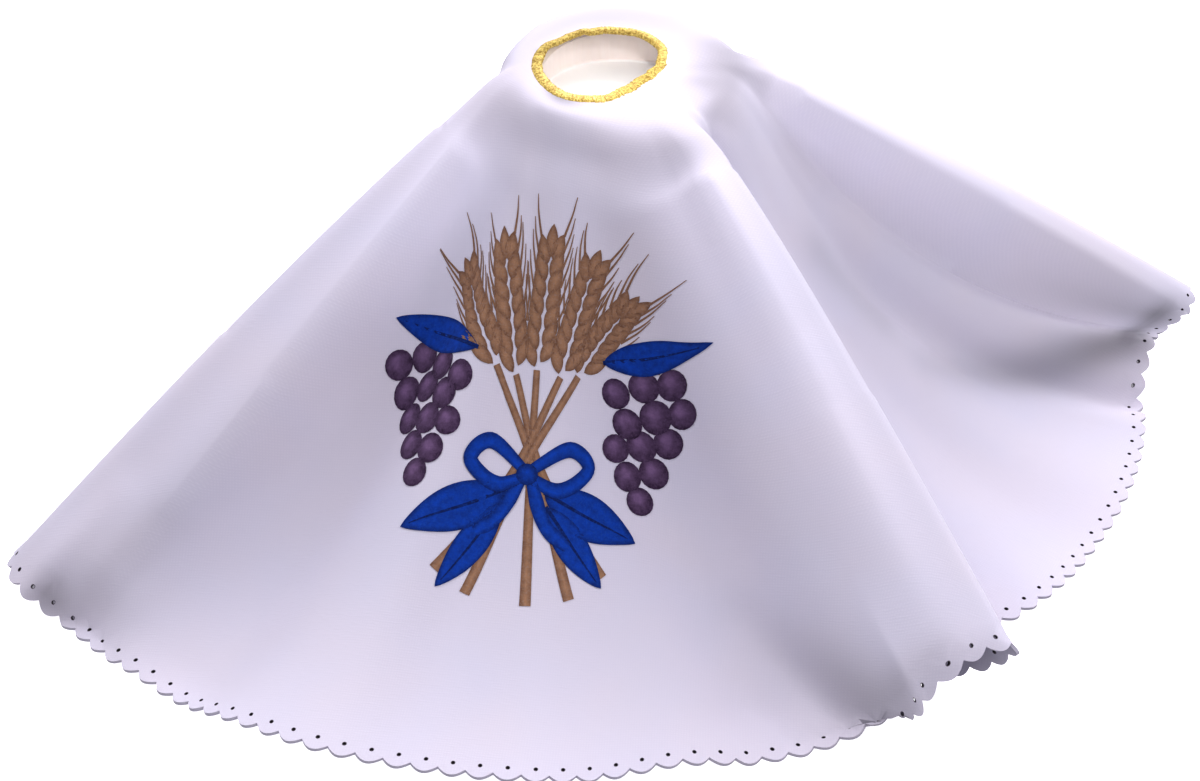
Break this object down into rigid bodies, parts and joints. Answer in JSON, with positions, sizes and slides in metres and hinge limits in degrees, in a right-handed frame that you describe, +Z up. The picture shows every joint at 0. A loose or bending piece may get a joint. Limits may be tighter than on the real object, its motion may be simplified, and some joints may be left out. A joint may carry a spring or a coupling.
{
  "type": "altar cloth on a round stand",
  "caption": "Round white altar cloth with a scalloped, pinholed hem and a gold-stitched centre hole, draped in uneven folds over a plain round stand.",
  "frame": {"origin": "centre of the stand's foot, on the surface it rests on", "axes": "+Z up along the stand's axis, -Y towards the cloth's wide front panel"},
  "size_m": [0.3618, 0.3639, 0.119],
  "materials": {
    "white_fabric": "matt plain weave, cool white",
    "gold_thread": "close satin stitch in gold thread",
    "white_paint": "turned wood, painted matt off-white"
  },
  "bodies": {
    "root": {"cloth": "white_fabric", "hole_edging": "gold_thread", "stand": "white_paint"}
  },
  "joints": []
}
